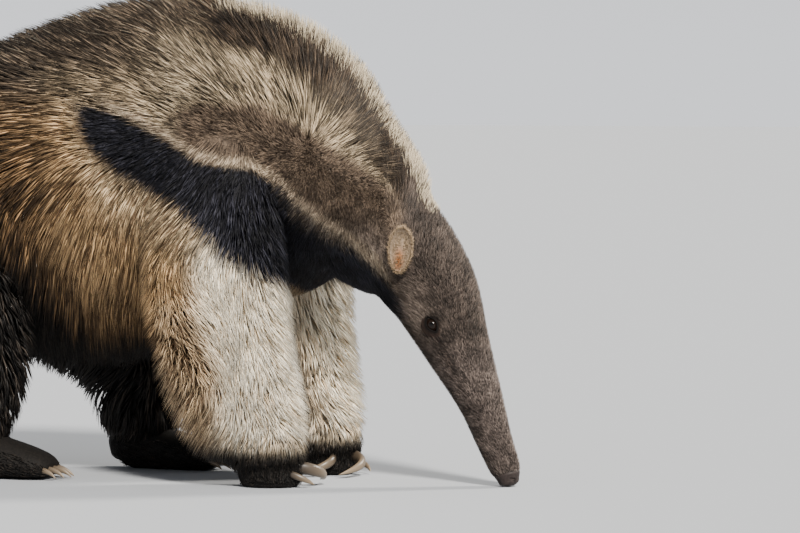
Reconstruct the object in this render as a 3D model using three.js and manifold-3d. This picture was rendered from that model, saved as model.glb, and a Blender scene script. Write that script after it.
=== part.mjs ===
// A giant anteater, life size, standing on four feet with its snout lowered to the ground.
// Millimetres, +Z up. The animal faces +X, its left side is +Y, and the ground is Z = 0.
import * as THREE from "three";
import { mergeVertices } from "three/addons/utils/BufferGeometryUtils.js";
import Module from "manifold-3d";

const wasm = await Module();
wasm.setup();

// Driving dimensions
const GAP = 0.3; // clearance between neighbouring pieces
const half = GAP / 2;
const FOOT_SPREAD = 98; // from the mid plane to each foot's centre
const FORE_X = 0; // where the forefeet stand
const HIND_RIGHT_X = -350; // the right hind foot
const HIND_LEFT_X = -200; // the left hind foot is gathered further under the body
const EYE_RADIUS = 8.5;
const EAR_LENGTH = 63;
const EAR_WIDTH = 31;
const DENSE_SHARE = 0.45; // how far the dense underfur reaches through a long coat
const SHORT_FUR = 12; // the depth of the underfur where the coat is short
const ROOT_SINK = 7; // how deep a lock is rooted in the underfur
const LOCK_FLATNESS = 0.42; // a lock's thickness over its width
const FLOOR_CLEARANCE = 4; // no lock hangs lower than this

const radians = THREE.MathUtils.degToRad;
const vec = (x, y, z) => new THREE.Vector3(x, y, z);
const { lerp, clamp, smoothstep } = THREE.MathUtils;

// Seeded random numbers from 0 to 1, so that every build is the same.
function randomSource(seed) {
  let state = seed;
  return () => {
    state = (state * 1664525 + 1013904223) % 4294967296;
    return state / 4294967296;
  };
}

// FORMS
// A form is a row of stations joined by a smooth curve: head and body, tail, leg or foot.
// Each station holds its centre, the skin's reach up, down, outward and inward from it, and the
// depth of the coat on each of those four sides. On a leg, up means forward and down backward.

const station = (at, skin, coat) => [...at, ...skin, ...coat];
const middle = (x, z, [up, down, side], [coatUp, coatDown, coatSide]) =>
  station([x, 0, z], [up, down, side, side], [coatUp, coatDown, coatSide, coatSide]);

// From the tip of the snout, over head, neck and back, to the rump.
const BODY = [
  middle(288, 7, [13, 12, 12], [2, 2, 2]), // nose
  middle(283, 24, [18, 18, 16], [3, 3, 3]), // lips
  middle(268, 59, [19.5, 19.5, 17.5], [3.5, 3.5, 3.5]),
  middle(249, 109, [25, 25, 22], [4, 4, 4]), // middle of the snout
  middle(220, 170, [37, 37, 31], [5, 5, 5]),
  middle(200, 210, [47, 45, 38], [6, 5, 3]), // eyes
  middle(182, 247, [54, 53, 46], [8, 6, 6]), // cheeks
  middle(157, 283, [60, 60, 54], [12, 7, 8]), // ears
  middle(125, 307, [70, 70, 60], [21, 8, 10]), // nape
  middle(92, 335, [89, 89, 74], [32, 12, 12]), // neck
  middle(32, 363, [134, 134, 100], [40, 20, 14]), // foot of the neck
  middle(-60, 400, [166, 166, 118], [44, 26, 18]), // withers
  middle(-150, 404, [174, 174, 128], [46, 60, 24]),
  middle(-240, 398, [168, 168, 131], [48, 95, 30]), // middle of the back
  middle(-330, 386, [150, 150, 128], [50, 110, 34]),
  middle(-420, 370, [124, 124, 118], [52, 105, 38]), // loin
  middle(-500, 355, [98, 98, 100], [52, 85, 42]), // hips
  middle(-565, 345, [70, 68, 75], [52, 60, 44]),
  middle(-615, 338, [44, 44, 46], [50, 50, 44]), // rump
];
const NECK_FROM = 7.55;
const CHEST_FROM = 9.75;
const LOIN_FROM = 13.5;
const BODY_END = BODY.length - 1;

// From the root of the tail to the ends of its last hairs.
const TAIL = [
  middle(-600, 338, [45, 45, 46], [48, 60, 40]),
  middle(-680, 320, [42, 42, 40], [52, 150, 46]),
  middle(-800, 291, [36, 36, 33], [62, 212, 50]),
  middle(-930, 261, [30, 30, 28], [72, 202, 50]),
  middle(-1060, 235, [25, 25, 23], [78, 184, 48]),
  middle(-1180, 212, [20, 20, 18], [78, 164, 44]),
  middle(-1290, 192, [13, 13, 11], [70, 142, 38]), // tip of the flesh
  middle(-1390, 172, [4, 4, 4], [52, 112, 30]),
  middle(-1470, 150, [2, 2, 2], [26, 62, 16]),
];
const TAIL_MIDDLE_FROM = 2.3;
const TAIL_TIP_FROM = 4.2;
const TAIL_FLESH_END = 6.4;
const TAIL_END = TAIL.length - 1;

// Forward, backward, outward and inward reach of a leg, from inside the body down to the sole.
const foreleg = (side) => ({
  side,
  rows: [
    [-72, 84, 430, 66, 66, 40, 30, 4, 4, 4, 4],
    [-68, 102, 350, 80, 80, 50, 40, 14, 14, 16, 8], // shoulder
    [-64, 109, 270, 76, 76, 50, 44, 26, 28, 24, 12], // elbow
    [-50, 109, 190, 62, 64, 46, 42, 34, 46, 32, 22],
    [-27, 104, 118, 48, 50, 40, 38, 36, 62, 32, 26], // forearm
    [-8, FOOT_SPREAD + 1, 66, 38, 42, 35, 34, 38, 56, 28, 24], // wrist
    [1, FOOT_SPREAD, 38, 41, 40, 36, 34, 20, 18, 12, 10],
    [4, FOOT_SPREAD, 14, 43, 38, 36, 34, 2, 2, 2, 2], // knuckles
    [4, FOOT_SPREAD, -8, 38, 32, 31, 29, 0, 0, 0, 0], // sole, cut level by the ground
  ].map(([x, y, ...rest]) => [x + FORE_X, y * side, ...rest]),
});
const WRIST = 5.35;

const hindleg = (side, footX) => {
  const reach = footX + 376; // the stations below are of a leg whose foot is at -376
  const share = [0, 0.05, 0.3, 0.72, 0.95, 1, 1]; // how much of the step each station takes
  return {
    side,
    rows: [
      [-512, 66, 372, 82, 82, 40, 30, 4, 4, 4, 4],
      [-492, 90, 322, 104, 96, 50, 40, 20, 22, 22, 10], // hip
      [-455, 100, 262, 90, 88, 52, 44, 28, 36, 28, 14], // thigh
      [-428, 103, 198, 68, 66, 46, 42, 34, 46, 30, 20], // knee
      [-424, 101, 134, 50, 50, 40, 38, 34, 46, 28, 24], // shank
      [-427, FOOT_SPREAD + 1, 78, 40, 43, 35, 34, 25, 36, 24, 22], // heel
      [-424, FOOT_SPREAD, 22, 30, 32, 26, 26, 4, 4, 4, 4],
    ].map(([x, y, ...rest], i) => [x + reach * share[i], y * side, ...rest]),
  };
};
const ANKLE = 6;

const hindfoot = (side, footX) => ({
  side,
  rows: [
    [-88, FOOT_SPREAD + 1, 18, 10, 14, 16, 16, 3, 1, 3, 3],
    [-76, FOOT_SPREAD + 1, 26, 26, 30, 28, 28, 5, 1, 4, 4],
    [-40, FOOT_SPREAD, 27, 29, 32, 34, 33, 5, 1, 4, 4],
    [5, FOOT_SPREAD - 1, 22, 24, 26, 38, 36, 4, 1, 3, 3],
    [42, FOOT_SPREAD - 1, 16, 17, 19, 37, 35, 3, 1, 3, 3],
    [58, FOOT_SPREAD - 1, 11, 9, 12, 28, 27, 2, 1, 2, 2],
  ].map(([x, y, ...rest]) => [x + footX, y * side, ...rest]),
});

// Catmull-Rom through every column of the rows, with the ends carried on straight.
function columnsAt(rows, t) {
  const last = rows.length - 1;
  const i = clamp(Math.floor(t), 0, last - 1);
  const u = t - i;
  const b = rows[i];
  const c = rows[i + 1];
  const a = i > 0 ? rows[i - 1] : b.map((v, k) => 2 * v - c[k]);
  const d = i + 2 <= last ? rows[i + 2] : c.map((v, k) => 2 * v - b[k]);
  return b.map((v, k) => {
    const m0 = (c[k] - a[k]) / 2;
    const m1 = (d[k] - v) / 2;
    const bend = (2 * v - 2 * c[k] + m0 + m1) * u ** 3;
    return bend + (3 * c[k] - 3 * v - 2 * m0 - m1) * u ** 2 + m0 * u + v;
  });
}

// How much of a coat's depth the solid underfur fills.
const denseDepth = (coat) => (coat < SHORT_FUR ? coat : Math.max(SHORT_FUR, DENSE_SHARE * coat));
const shareOf = {
  core: denseDepth,
  tips: (coat) => coat,
};

// The frame of a form's cross-section: its centre, the way along, the way up and the way outward.
function frameAt(form, t) {
  const step = 0.3;
  const [ax, ay, az] = columnsAt(form.rows, t - step);
  const [bx, by, bz] = columnsAt(form.rows, t + step);
  const row = columnsAt(form.rows, t);
  const along = vec(bx - ax, by - ay, bz - az).normalize();
  const out = vec(0, form.side, 0);
  out.addScaledVector(along, -out.dot(along)).normalize();
  const up = out.clone().cross(along).multiplyScalar(form.side * (form.leg ? -1 : 1));
  return { row, along, up, out, centre: vec(row[0], row[1], row[2]) };
}

// The point at angle theta round a form, from straight up through outward, at a given depth of coat.
function pointAt(form, t, theta, depth) {
  const { row, up, out, centre } = frameAt(form, t);
  const reach = (i) => Math.max(0.4, row[3 + i]) + depth(Math.max(0, row[7 + i]));
  const c = Math.cos(theta);
  const s = Math.sin(theta);
  centre.addScaledVector(up, reach(c > 0 ? 0 : 1) * c);
  return centre.addScaledVector(out, reach(s > 0 ? 2 : 3) * s);
}

// SOLIDS
// Turns rings of points into a closed solid, each end closed by a fan to its own centre point.
function ringsToSolid(rings, startTip, endTip) {
  const n = rings[0].length;
  const points = rings.flat().concat([startTip, endTip]);
  const faces = [];
  for (let i = 0; i + 1 < rings.length; i++)
    for (let j = 0; j < n; j++) {
      const a = i * n + j;
      const b = i * n + ((j + 1) % n);
      faces.push(a, b, a + n, b, b + n, a + n);
    }
  const first = points.length - 2;
  const lastRing = (rings.length - 1) * n;
  for (let j = 0; j < n; j++) {
    const k = (j + 1) % n;
    faces.push(first, k, j, first + 1, lastRing + j, lastRing + k);
  }
  const geometry = new THREE.BufferGeometry().setFromPoints(points).setIndex(faces);
  return geometryToSolid(geometry);
}

// A closed three.js geometry as a solid, with its faces turned outwards.
function geometryToSolid(source) {
  const bare = source.clone();
  bare.deleteAttribute("normal");
  bare.deleteAttribute("uv");
  const merged = mergeVertices(bare, 1e-3);
  const vertProperties = merged.attributes.position.array;
  const triVerts = new Uint32Array(merged.index.array);
  const corner = (i) => vec().fromArray(vertProperties, 3 * triVerts[i]);
  let volume = 0;
  for (let i = 0; i < triVerts.length; i += 3)
    volume += corner(i).dot(corner(i + 1).cross(corner(i + 2)));
  if (volume < 0)
    for (let i = 0; i < triVerts.length; i += 3)
      [triVerts[i + 1], triVerts[i + 2]] = [triVerts[i + 2], triVerts[i + 1]];
  return new wasm.Manifold(new wasm.Mesh({ numProp: 3, vertProperties, triVerts }));
}

function solidToGeometry(solid) {
  const mesh = solid.getMesh();
  const geometry = new THREE.BufferGeometry();
  geometry.setAttribute("position", new THREE.BufferAttribute(mesh.vertProperties.slice(), 3));
  geometry.setIndex(new THREE.BufferAttribute(mesh.triVerts.slice(), 1));
  geometry.computeVertexNormals();
  return geometry;
}

const onGround = (p) => vec(p.x, p.y, Math.max(p.z, 0));
const average = (ring) => ring.reduce((sum, p) => sum.add(p), vec(0, 0, 0)).divideScalar(ring.length);

// A length of a form as a solid. A round end is closed by a dome of the given height.
function length(form, { from, to, rings, sides, depth = shareOf.core, startDome = 0, endDome = 0 }) {
  const ringAt = (t) =>
    Array.from({ length: sides }, (_, j) => pointAt(form, t, (2 * Math.PI * j) / sides, depth));
  const loops = Array.from({ length: rings + 1 }, (_, i) => ringAt(lerp(from, to, i / rings)));
  const close = (loop, t, height, way) => {
    const along = frameAt(form, t).along.multiplyScalar(way);
    const centre = average(loop);
    const domes = (height > 0 ? [35, 65] : []).map(radians).map((angle) =>
      loop.map((p) =>
        centre.clone().lerp(p, Math.cos(angle)).addScaledVector(along, height * Math.sin(angle))));
    return { domes, tip: centre.addScaledVector(along, height) };
  };
  const start = close(loops[0], from, startDome, -1);
  const end = close(loops[rings], to, endDome, 1);
  const all = [...start.domes.reverse(), ...loops, ...end.domes];
  return ringsToSolid(all.map((loop) => loop.map(onGround)), onGround(start.tip), onGround(end.tip));
}

// The same solid with every face moved outwards by the gap, for cutting its neighbours clear. Each
// corner goes to where the moved faces round it meet, by least squares.
function grown(solid) {
  const geometry = solidToGeometry(solid);
  const { position } = geometry.attributes;
  const index = geometry.index.array;
  const corner = (i) => vec().fromBufferAttribute(position, i);
  const facing = Array.from({ length: position.count }, () => []);
  for (let i = 0; i < index.length; i += 3) {
    const [a, b, c] = [0, 1, 2].map((k) => corner(index[i + k]));
    const normal = b.sub(a).cross(c.sub(a)).normalize();
    if (normal.lengthSq() > 0.5) for (let k = 0; k < 3; k++) facing[index[i + k]].push(normal);
  }
  const reach = 1.1 * GAP;
  facing.forEach((normals, i) => {
    const m = [0.02, 0, 0, 0, 0.02, 0, 0, 0, 0.02];
    const sum = vec(0, 0, 0);
    for (const n of normals) {
      const [x, y, z] = n.toArray();
      [x * x, x * y, x * z, y * x, y * y, y * z, z * x, z * y, z * z].forEach((v, k) => (m[k] += v));
      sum.addScaledVector(n, reach);
    }
    const move = sum.applyMatrix3(new THREE.Matrix3().set(...m).invert()).clampLength(0, 3 * reach);
    position.setXYZ(i, ...corner(i).add(move).toArray());
  });
  return geometryToSolid(geometry);
}

// A flat, tapered lock of hair along a bent line from its root to its tip. Its section is a flat
// diamond whose wide way lies across the coat.
function lock(root, bend, tip, facing, width) {
  const line = new THREE.QuadraticBezierCurve3(root, bend, tip);
  const aboveFloor = (p) => vec(p.x, p.y, Math.max(p.z, FLOOR_CLEARANCE));
  const section = (u, share) => {
    const along = line.getTangent(u);
    const across = along.clone().cross(facing).normalize();
    const thick = across.clone().cross(along).normalize();
    const at = aboveFloor(line.getPoint(u));
    const w = (width * share) / 2;
    const h = w * LOCK_FLATNESS;
    return [[across, w], [thick, h], [across, -w], [thick, -h]].map(([way, by]) =>
      aboveFloor(at.clone().addScaledVector(way, by)));
  };
  return ringsToSolid([section(0, 0.75), section(0.38, 1), section(0.74, 0.66)], root, aboveFloor(tip));
}

// One lock of a form's coat: rooted in the underfur at t and theta, its tip at the outer edge of the
// coat further along and round the form. Most lie flat on the body. A hanging or standing one, as
// in the tail's curtain and the crest, is flat from left to right instead.
function coatLock(form, t, theta, { sweep, turn = 0, width, reach = 1, upright = false }) {
  const depthIn = (coat) => Math.max(0, denseDepth(coat) - ROOT_SINK);
  const root = pointAt(form, t, theta, depthIn);
  const bend = pointAt(form, t + 0.42 * sweep, theta + 0.42 * turn, (coat) => 0.86 * coat);
  const tip = pointAt(form, t + sweep, theta + turn, (coat) => reach * coat);
  const { centre } = frameAt(form, t + 0.4 * sweep);
  const facing = upright ? vec(0, 1, 0) : bend.clone().sub(centre).normalize();
  return lock(root, bend, tip, facing, width);
}

// COAT
// Each function gives one region's locks, row by row along the form and varied a little at random.
const pick = (low, high, random) => lerp(low, high, random());

// The crest along the back: upright on the neck, laid backward behind the withers.
function crestLocks(from, to, seed) {
  const random = randomSource(seed);
  const locks = [];
  let odd = false;
  for (let t = from; t < to; t += 0.68) {
    const laid = smoothstep(t, 9.8, 11.6);
    for (const angle of odd ? [-27, 0, 27] : [-13, 13]) {
      const theta = radians(angle + pick(-3, 3, random));
      const sweep = lerp(-0.12, 0.95, laid) * pick(0.85, 1.15, random);
      const width = lerp(32, 48, laid) * pick(0.85, 1.15, random);
      locks.push(coatLock(BODY_FORM, t + pick(-0.1, 0.1, random), theta,
        { sweep, width, upright: Math.abs(angle) < 20 }));
    }
    odd = !odd;
  }
  return locks;
}

// The long hair of both flanks, swept backward and falling towards the belly.
function flankLocks(from, to, seed) {
  const random = randomSource(seed);
  const locks = [];
  let odd = 0;
  for (let t = from; t < to; t += 1.1) {
    for (const side of [-1, 1])
      for (const angle of [62, 102, 140]) {
        const theta = side * radians(angle + odd * 16 + pick(-4, 4, random));
        const low = smoothstep(angle, 60, 150);
        const turn = side * radians(lerp(16, 8, low));
        const sweep = lerp(0.85, 0.5, low) * pick(0.85, 1.15, random);
        const width = 50 * pick(0.85, 1.15, random);
        locks.push(coatLock(BODY_FORM, t + pick(-0.1, 0.1, random), theta, { sweep, turn, width }));
      }
    odd = odd ? 0 : 1;
  }
  return locks;
}

// The tail's hair: short along the top, a long curtain below, and all swept backward.
function tailLocks(from, to, seed) {
  const random = randomSource(seed);
  const locks = [];
  let odd = 0;
  for (let t = from; t < to; t += 0.76) {
    for (const angle of [-163, -112, -58, 0, 58, 112, 163]) {
      const low = smoothstep(Math.abs(angle), 30, 150);
      const theta = radians(angle + odd * 9 + pick(-5, 5, random));
      const room = TAIL_END - 0.08 - t;
      const sweep = Math.min(lerp(1.0, 0.72, low) * pick(0.85, 1.15, random), room);
      const turn = radians(14) * Math.sin(theta);
      const width = lerp(40, 62, low) * pick(0.85, 1.15, random);
      const upright = Math.abs(angle) > 150;
      locks.push(coatLock(TAIL_FORM, t, theta, { sweep, turn, width, reach: pick(0.9, 1, random), upright }));
    }
    odd = odd ? 0 : 1;
  }
  return locks;
}

// The tail's last hairs, from the end of its flesh to the tip.
function tipLocks(from, seed) {
  const random = randomSource(seed);
  return [-150, -95, -35, 35, 95, 150].map((angle) => {
    const sweep = TAIL_END - from - pick(0.02, 0.25, random);
    const upright = Math.abs(angle) > 120;
    return coatLock(TAIL_FORM, from, radians(angle), { sweep, width: 44, reach: 0.9, upright });
  });
}

// The shaggy hair of a leg, hanging down and overlapping tier by tier.
function legLocks(form, tiers, seed) {
  const random = randomSource(seed);
  const locks = [];
  tiers.forEach(([t, fall, count, wide], tier) => {
    for (let i = 0; i < count; i++) {
      const theta = (2 * Math.PI * (i + (tier % 2) / 2 + pick(-0.12, 0.12, random))) / count;
      const sweep = fall * pick(0.88, 1.1, random);
      locks.push(coatLock(form, t, theta, { sweep, width: wide * pick(0.88, 1.12, random) }));
    }
  });
  return locks;
}

// HEAD
const BODY_FORM = { side: 1, rows: BODY };
const TAIL_FORM = { side: 1, rows: TAIL };

const ball = (radius, centre, across, down) =>
  new THREE.SphereGeometry(radius, across, down).translate(centre.x, centre.y, centre.z);

const eyeCentre = (side) => vec(198, 34.5 * side, 203);

const eyeball = (side) => geometryToSolid(ball(EYE_RADIUS, eyeCentre(side), 12, 8));

// A raised rim of lids, longer fore and aft than across, turned to the slope of the head.
function lids(side) {
  const ring = new THREE.TorusGeometry(EYE_RADIUS - 0.4, 2.6, 6, 12);
  ring.scale(1.2, 0.95, 1);
  ring.rotateX(-side * Math.PI / 2);
  ring.rotateY(radians(64));
  const centre = eyeCentre(side);
  return geometryToSolid(ring.translate(centre.x, centre.y + side * 5.6, centre.z));
}

// The mouth is a short slit at the end of the snout, under the nostrils.
function mouthCut() {
  const slit = new THREE.BoxGeometry(60, 60, 1.1);
  const { centre, along, up } = frameAt(BODY_FORM, 0.6);
  const tilt = Math.atan2(along.z, -along.x);
  slit.translate(-30, 0, 0).rotateY(Math.PI - tilt);
  slit.translate(centre.x, centre.y, centre.z).translate(-7 * up.x, 0, -7 * up.z);
  return geometryToSolid(slit);
}

const nostril = (side) => {
  const at = pointAt(BODY_FORM, 0.12, side * radians(38), shareOf.core);
  return geometryToSolid(ball(2.7, at, 8, 6));
};

const skull = () =>
  length(BODY_FORM, {
    from: 0, to: NECK_FROM - half / 40, rings: 13, sides: 16, depth: shareOf.tips, startDome: 6,
  });

const headWithDetails = () =>
  wasm.Manifold.union([skull(), lids(-1), lids(1)])
    .subtract(wasm.Manifold.union([mouthCut(), nostril(-1), nostril(1)]));

// An ear is a cup: a flat egg, hollowed from its outer face, standing on the side of the head.
function ear(side) {
  const base = vec(165, 52 * side, 268);
  const tip = vec(177, 73 * side, 268 + EAR_LENGTH);
  const long = tip.clone().sub(base).normalize();
  const face = vec(0.36, side, 0.12).addScaledVector(long, -long.dot(vec(0.36, side, 0.12))).normalize();
  const across = long.clone().cross(face);
  const egg = (halfWidth, halfLength, halfDepth, shift) => {
    const frame = new THREE.Matrix4().makeBasis(
      across.clone().multiplyScalar(halfWidth),
      long.clone().multiplyScalar(halfLength),
      face.clone().multiplyScalar(halfDepth),
    );
    const centre = base.clone().lerp(tip, 0.5).addScaledVector(face, shift);
    frame.setPosition(centre);
    return geometryToSolid(new THREE.SphereGeometry(1, 11, 8).applyMatrix4(frame));
  };
  const shell = egg(EAR_WIDTH / 2, EAR_LENGTH / 2, 8, 0);
  return shell.subtract(egg(EAR_WIDTH / 2 - 3, EAR_LENGTH / 2 - 4, 8, 5.5));
}

// CLAWS
// A claw is a curved cone from its root in the foot to its point.
function claw(root, bend, tip, radius) {
  const line = new THREE.QuadraticBezierCurve3(root, bend, tip);
  const ring = (u, share) => {
    const along = line.getTangent(u);
    const across = along.clone().cross(vec(0, 0, 1)).normalize();
    const up = across.clone().cross(along);
    const r = radius * share;
    return Array.from({ length: 6 }, (_, j) => {
      const angle = (2 * Math.PI * j) / 6;
      const at = line.getPoint(u).addScaledVector(across, 0.75 * r * Math.cos(angle));
      at.addScaledVector(up, r * Math.sin(angle));
      return vec(at.x, at.y, Math.max(at.z, 1));
    });
  };
  return ringsToSolid([ring(0, 1), ring(0.4, 0.9), ring(0.75, 0.55)], root, tip);
}

// The forefoot's claws are folded back under the hand and inward, and the third is the greatest.
// Each is drawn from its root through a bend to its point, as seen from its own foot's centre.
const FORE_CLAWS = {
  2: { root: [24, -22, 24], bend: [38, -54, 16], tip: [-8, -58, 5], radius: 6.5 },
  3: { root: [38, 0, 26], bend: [86, -20, 18], tip: [48, -64, 5], radius: 8 },
  4: { root: [38, 16, 18], bend: [60, 18, 12], tip: [66, 2, 4], radius: 4.5 },
};

function foreClaw(side, { root, bend, tip, radius }) {
  const at = ([x, y, z]) => vec(FORE_X + x, side * (FOOT_SPREAD + y), z);
  return claw(at(root), at(bend), at(tip), radius);
}

// The hind foot's five claws point forward and down.
const HIND_CLAWS = [-26, -14, 0, 14, 25];

function hindClaw(side, footX, i) {
  const spread = HIND_CLAWS[i];
  const back = 0.016 * spread ** 2;
  const at = (x, y, z) => vec(footX + x - back, side * (FOOT_SPREAD - 1 + y), z);
  return claw(at(48, 0.9 * spread, 13), at(72, spread, 16), at(84, 1.08 * spread, 3), 4.2);
}

// NODES
// Each node has a core, and locks joined to it. The order settles which node gives way: a core is
// cut clear of the cores before it, and locks are cut clear of every other core and of the locks
// before them.

const FORMS = {
  foreleg: { "-1": { ...foreleg(-1), leg: true }, 1: { ...foreleg(1), leg: true } },
  hindleg: {
    "-1": { ...hindleg(-1, HIND_RIGHT_X), leg: true },
    1: { ...hindleg(1, HIND_LEFT_X), leg: true },
  },
  hindfoot: { "-1": hindfoot(-1, HIND_RIGHT_X), 1: hindfoot(1, HIND_LEFT_X) },
};
const SIDES = { right: -1, left: 1 };
const tailOptions = { sides: 12, rings: 5 };

const nodes = [];
const add = (name, material, core, { locks = [], cutter = core } = {}) =>
  nodes.push({ name, material, core, cutter: grown(cutter), locks });

for (const [name, side] of Object.entries(SIDES)) add(`eye_${name}`, "eye", eyeball(side));
add("head", "short_fur", headWithDetails(), { cutter: skull() });
for (const [name, side] of Object.entries(SIDES)) add(`ear_${name}`, "ear", ear(side));
add("neck", "short_fur",
  length(BODY_FORM, { from: NECK_FROM + half / 40, to: CHEST_FROM - half / 90, rings: 4, sides: 20 }),
  { locks: crestLocks(NECK_FROM + 0.35, CHEST_FROM - 0.2, 11) });
add("torso_front", "grizzled_coat",
  length(BODY_FORM, { from: CHEST_FROM + half / 90, to: LOIN_FROM - half / 90, rings: 7, sides: 22 }),
  { locks: [...crestLocks(CHEST_FROM + 0.15, LOIN_FROM - 0.3, 12), ...flankLocks(12, LOIN_FROM - 0.3, 13)] });
add("torso_rear", "grizzled_coat",
  length(BODY_FORM, {
    from: LOIN_FROM + half / 90, to: BODY_END, rings: 8, sides: 20, endDome: 18,
  }),
  {
    locks: [
      ...crestLocks(LOIN_FROM + 0.15, BODY_END - 0.5, 14),
      ...flankLocks(LOIN_FROM + 0.2, BODY_END - 0.4, 67),
    ],
  });
add("tail_base", "tail_hair",
  length(TAIL_FORM, { from: 0, to: TAIL_MIDDLE_FROM - half / 125, ...tailOptions }),
  { locks: tailLocks(0.5, TAIL_MIDDLE_FROM - 0.15, 16) });
add("tail_middle", "tail_hair",
  length(TAIL_FORM, { from: TAIL_MIDDLE_FROM + half / 125, to: TAIL_TIP_FROM - half / 125, ...tailOptions }),
  { locks: tailLocks(TAIL_MIDDLE_FROM + 0.15, TAIL_TIP_FROM - 0.15, 17) });
add("tail_tip", "tail_hair",
  length(TAIL_FORM, {
    from: TAIL_TIP_FROM + half / 125, to: TAIL_FLESH_END, endDome: 12, ...tailOptions,
  }),
  { locks: [...tailLocks(TAIL_TIP_FROM + 0.15, TAIL_FLESH_END, 18), ...tipLocks(TAIL_FLESH_END - 0.1, 19)] });

// Each tier of a leg's hair: where it is rooted, how far it hangs, how many locks and how wide.
const FORELEG_TIERS = [
  [2.4, 1.5, 7, 50],
  [3.8, 1.6, 8, 44],
];
const HINDLEG_TIERS = [
  [2.1, 1.6, 7, 52],
  [3.6, 1.3, 8, 46],
];
for (const [name, side] of Object.entries(SIDES)) {
  const form = FORMS.foreleg[side];
  add(`forefoot_${name}`, "foot_skin",
    length(form, { from: WRIST + half / 30, to: 8, rings: 4, sides: 14, depth: shareOf.tips }));
  add(`foreleg_${name}`, "foreleg_hair",
    length(form, { from: 0, to: WRIST - half / 30, rings: 8, sides: 12 }),
    { locks: legLocks(form, FORELEG_TIERS, 20 + side) });
}
for (const [name, side] of Object.entries(SIDES)) {
  const form = FORMS.hindleg[side];
  add(`hindfoot_${name}`, "foot_skin",
    length(FORMS.hindfoot[side], { from: 0, to: 5, rings: 8, sides: 14, depth: shareOf.tips, startDome: 6, endDome: 5 }));
  add(`hindleg_${name}`, "dark_hair",
    length(form, { from: 0, to: ANKLE, rings: 8, sides: 12 }),
    { locks: legLocks(form, HINDLEG_TIERS, 47 + side) });
}
for (const [name, side] of Object.entries(SIDES)) {
  for (const [digit, facts] of Object.entries(FORE_CLAWS))
    add(`claw_fore_${name}_${digit}`, "horn", foreClaw(side, facts));
  HIND_CLAWS.forEach((_, i) => {
    const footX = side < 0 ? HIND_RIGHT_X : HIND_LEFT_X;
    add(`claw_hind_${name}_${i + 1}`, "horn", hindClaw(side, footX, i));
  });
}

// Pieces of one form lie end to end with their gap built in, so they don't cut one another.
const END_TO_END = [
  ["head", "neck"], ["neck", "torso_front"], ["torso_front", "torso_rear"],
  ["tail_base", "tail_middle"], ["tail_middle", "tail_tip"],
  ["forefoot_right", "foreleg_right"], ["forefoot_left", "foreleg_left"],
];
const endToEnd = (a, b) => END_TO_END.some((pair) => pair.includes(a.name) && pair.includes(b.name));

const meet = (a, b) => {
  const p = a.boundingBox();
  const q = b.boundingBox();
  return [0, 1, 2].every((k) => p.min[k] <= q.max[k] && q.min[k] <= p.max[k]);
};
const cutBy = (solid, cutters) => {
  const near = cutters.filter((c) => meet(solid, c));
  return near.length ? solid.subtract(wasm.Manifold.union(near)) : solid;
};
const largest = (solid) => solid.decompose().reduce((a, b) => (a.volume() >= b.volume() ? a : b));

nodes.forEach((node, i) => {
  const before = nodes.slice(0, i);
  const cores = before.filter((other) => !endToEnd(node, other)).map((other) => other.cutter);
  node.solid = cutBy(node.core, cores);
  if (node.locks.length) {
    const hair = wasm.Manifold.union(node.locks);
    const others = nodes.filter((other) => other !== node).map((other) => other.cutter);
    const hairBefore = before.flatMap((other) => other.hairCutter ?? []);
    node.solid = wasm.Manifold.union([node.solid, cutBy(hair, [...others, ...hairBefore])]);
    node.hairCutter = wasm.Manifold.union(node.locks.map(grown));
  }
  node.solid = largest(node.solid);
});

// MATERIALS
const finish = (color, roughness) => new THREE.MeshStandardMaterial({ color, roughness, metalness: 0 });
const MATERIALS = {
  eye: finish(0x14100e, 0.15),
  short_fur: finish(0x6a5f57, 0.85),
  ear: finish(0xb29a86, 0.8),
  grizzled_coat: finish(0x6b5d4c, 0.85),
  tail_hair: finish(0x4a4038, 0.85),
  foreleg_hair: finish(0xcbb694, 0.85),
  dark_hair: finish(0x211d1b, 0.85),
  foot_skin: finish(0x231f1e, 0.7),
  horn: finish(0x3a342f, 0.45),
};

function meshOf({ name, material, solid }) {
  const made = new THREE.Mesh(solidToGeometry(solid), MATERIALS[material]);
  made.name = name;
  return made;
}

// The origin is on the ground under the middle of the animal's outline.
const anteater = new THREE.Group();
nodes.forEach((node) => anteater.add(meshOf(node)));
const outline = new THREE.Box3().setFromObject(anteater, true);
const centre = outline.getCenter(vec(0, 0, 0));
anteater.position.set(-centre.x, -centre.y, 0);
const model = new THREE.Group();
model.add(anteater);

export default model;
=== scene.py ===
"""A giant anteater, life size, as a still model, noses the ground.

Lengths are in millimetres in the animal's own frame: X forward, Y to its left, Z up from the
ground, with its forefeet at X = 0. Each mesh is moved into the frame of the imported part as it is
made, and then is in metres.
"""

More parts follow.
